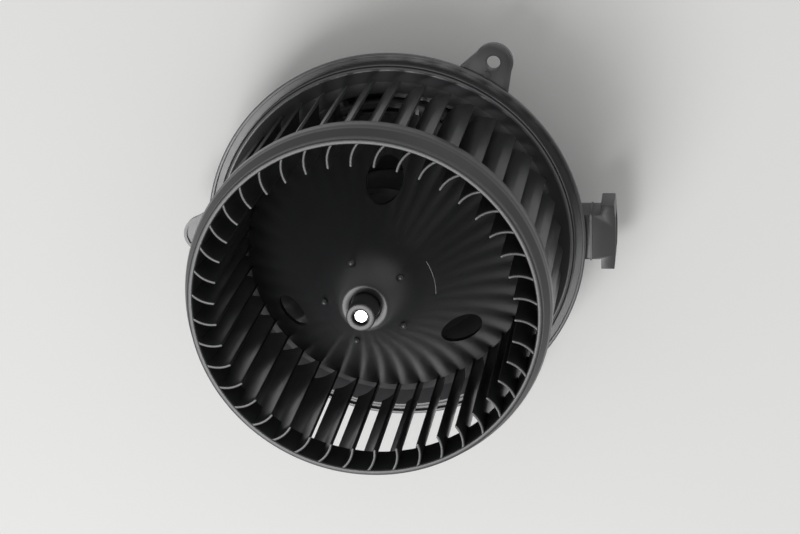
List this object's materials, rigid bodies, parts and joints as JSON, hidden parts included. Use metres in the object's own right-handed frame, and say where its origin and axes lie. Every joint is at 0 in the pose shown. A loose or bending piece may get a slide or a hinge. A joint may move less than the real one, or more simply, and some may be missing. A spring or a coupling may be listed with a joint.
{
  "type": "blower motor",
  "caption": "Cabin blower motor with a squirrel-cage fan wheel on its shaft, in a round mounting flange with a screw ear, two lugs and a side connector.",
  "frame": {"origin": "on the shaft axis, in the plane of the ears and of the gasket channel in the flange", "axes": "+Z along the shaft towards the open front of the fan wheel, +X through the connector"},
  "size_m": [0.1943, 0.1747, 0.134],
  "materials": {
    "fan_plastic": "satin black moulded plastic",
    "flange_plastic": "fine-grained black moulded plastic",
    "connector_plastic": "satin black moulded plastic",
    "clamp_plastic": "matte black moulded plastic",
    "shaft_steel": "ground steel",
    "can_steel": "dark coated deep-drawn steel",
    "band_steel": "plain rolled steel",
    "core_steel": "stacked laminations",
    "copper": "enamelled copper wire",
    "commutator_copper": "turned copper",
    "moulding": "brown phenolic moulding",
    "spacer_plastic": "natural nylon",
    "washer_fibre": "fibre washer",
    "magnet_ferrite": "sintered ferrite",
    "spring_steel": "spring steel",
    "bush_bronze": "sintered bronze",
    "plate_steel": "zinc-plated steel",
    "card_board": "laminated phenolic board",
    "brass_sheet": "plain brass sheet",
    "carbon": "copper-graphite carbon",
    "choke_ferrite": "ferrite rod",
    "capacitor_resin": "dipped resin",
    "rubber_black": "black rubber",
    "screw_steel": "zinc-plated steel",
    "terminal_brass": "tinned brass",
    "lead_red": "red insulation",
    "lead_black": "black insulation"
  },
  "bodies": {
    "stator": {"mounting_flange": "flange_plastic", "motor_can": "can_steel", "flux_ring": "band_steel", "magnet_left": "magnet_ferrite", "magnet_right": "magnet_ferrite", "magnet_spring_front": "spring_steel", "magnet_spring_back": "spring_steel", "bush_front": "bush_bronze", "bush_rear": "bush_bronze", "bush_retainer_front": "spring_steel", "bush_retainer_rear": "spring_steel", "end_plate": "plate_steel", "brush_card": "card_board", "brush_box_left": "brass_sheet", "brush_box_right": "brass_sheet", "brush_left": "carbon", "brush_right": "carbon", "brush_spring_left": "spring_steel", "brush_spring_right": "spring_steel", "choke_core_left": "choke_ferrite", "choke_core_right": "choke_ferrite", "choke_coil_left": "copper", "choke_coil_right": "copper", "capacitor": "capacitor_resin", "isolator_front": "rubber_black", "isolator_rear": "rubber_black", "clamp_ring": "clamp_plastic", "clamp_screws": "screw_steel", "connector_housing": "connector_plastic", "terminal_positive": "terminal_brass", "terminal_negative": "terminal_brass", "lead_positive": "lead_red", "lead_negative": "lead_black", "lead_grommet": "rubber_black"},
    "rotor": {"fan_wheel": "fan_plastic", "motor_shaft": "shaft_steel", "armature_core": "core_steel", "armature_winding": "copper", "armature_spacer": "spacer_plastic", "commutator_sleeve": "moulding", "commutator_bars": "commutator_copper", "thrust_washer_front": "washer_fibre", "thrust_washer_rear": "washer_fibre"}
  },
  "joints": [
    {"name": "fan_spin", "type": "hinge", "parent": "stator", "child": "rotor", "pos_m": [0, 0, 0], "axis": [0, 0, 1], "continuous": true}
  ]
}
